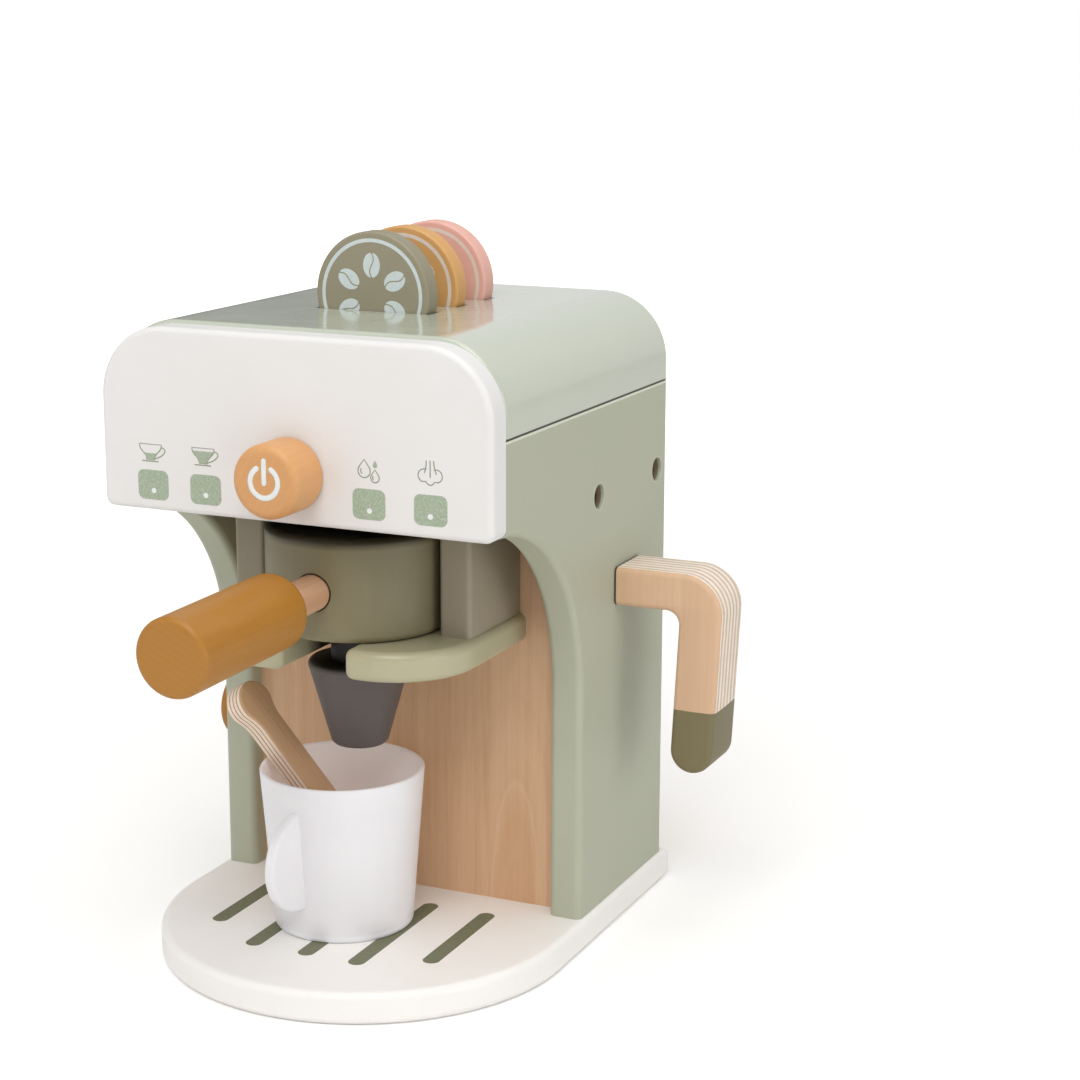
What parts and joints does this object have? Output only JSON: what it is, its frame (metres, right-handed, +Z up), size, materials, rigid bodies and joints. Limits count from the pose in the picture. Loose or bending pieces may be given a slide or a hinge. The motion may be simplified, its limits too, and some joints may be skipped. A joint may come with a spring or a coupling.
{
  "type": "toy coffee maker",
  "caption": "Painted wooden toy espresso machine: round-fronted base, swept side panels, turning knob, pull-out portafilter, steam arm, lift-out pods, cup and stirrer.",
  "frame": {"origin": "centre of the base board's underside", "axes": "+X to the machine's right as its user sees it, front towards -Y, +Z up"},
  "size_m": [0.2466, 0.2836, 0.3142],
  "materials": {
    "white_paint": "satin white paint on board",
    "sage_paint": "satin sage green paint on board",
    "beech_veneer": "bare beech veneer",
    "birch_ply": "bare birch plywood, layered edges",
    "beech": "bare turned beech",
    "apricot_paint": "satin apricot paint on wood",
    "mustard_paint": "satin mustard paint on wood",
    "taupe_paint": "satin taupe paint on wood",
    "olive_paint": "satin olive paint on wood",
    "slate_paint": "satin dark grey paint on wood",
    "pink_paint": "satin pink paint on wood",
    "cup_plastic": "soft white moulded plastic",
    "steel": "zinc-plated steel"
  },
  "bodies": {
    "machine": {"base_board": "white_paint", "side_panel_left": "sage_paint", "side_panel_right": "sage_paint", "column_panel": "beech_veneer", "back_panel": "beech_veneer", "head_floor": "beech_veneer", "head_cover": "sage_paint", "pod_rack": "beech", "front_panel": "white_paint", "post_left": "taupe_paint", "post_right": "taupe_paint", "holder_plate": "sage_paint", "side_screws": "steel", "base_screws": "steel", "cover_dowels": "beech", "panel_dowels": "beech", "holder_dowels": "beech"},
    "power_knob_set": {"power_knob": "apricot_paint", "power_knob_axle": "beech", "power_knob_washer": "beech"},
    "side_knob_set": {"side_knob": "mustard_paint", "side_knob_axle": "beech", "side_knob_washer": "beech"},
    "steam_arm_set": {"steam_arm": "birch_ply", "steam_arm_axle": "beech", "steam_arm_washer": "beech"},
    "spout": {"portafilter_spout": "slate_paint"},
    "portafilter": {"portafilter_body": "olive_paint", "portafilter_dowel": "beech", "portafilter_handle": "mustard_paint"},
    "pod_front": {"pod_olive": "olive_paint"},
    "pod_middle": {"pod_orange": "apricot_paint"},
    "pod_rear": {"pod_pink": "pink_paint"},
    "cup": {"cup": "cup_plastic"},
    "stirrer": {"stirrer": "birch_ply"}
  },
  "joints": [
    {"name": "power_knob_turn", "type": "hinge", "parent": "machine", "child": "power_knob_set", "pos_m": [0, -0.0814, 0.223], "axis": [0, -1, 0], "continuous": true},
    {"name": "side_knob_turn", "type": "hinge", "parent": "machine", "child": "side_knob_set", "pos_m": [-0.0904, 0.047, 0.079], "axis": [-1, 0, 0], "continuous": true},
    {"name": "steam_arm_swing", "type": "hinge", "parent": "machine", "child": "steam_arm_set", "pos_m": [0.0904, 0.0581, 0.1576], "axis": [1, 0, 0], "continuous": true},
    {"name": "portafilter_pull", "type": "slide", "parent": "machine", "child": "spout", "axis": [0, -1, 0], "range_m": [0, 0.09]},
    {"name": "portafilter_swivel", "type": "hinge", "parent": "spout", "child": "portafilter", "pos_m": [0, -0.026, 0.1488], "axis": [0, 0, 1], "range_deg": [-65, 65]},
    {"name": "pod_front_lift", "type": "slide", "parent": "machine", "child": "pod_front", "axis": [0, 0, 1], "range_m": [0, 0.035]},
    {"name": "pod_middle_lift", "type": "slide", "parent": "machine", "child": "pod_middle", "axis": [0, 0, 1], "range_m": [0, 0.035]},
    {"name": "pod_rear_lift", "type": "slide", "parent": "machine", "child": "pod_rear", "axis": [0, 0, 1], "range_m": [0, 0.035]},
    {"name": "cup_draw", "type": "slide", "parent": "machine", "child": "cup", "axis": [0, -1, 0], "range_m": [0, 0.12]},
    {"name": "stirrer_stir", "type": "hinge", "parent": "cup", "child": "stirrer", "pos_m": [-0.0058, -0.032, 0.0168], "axis": [0, 0, 1], "range_deg": [-70, 200]}
  ]
}
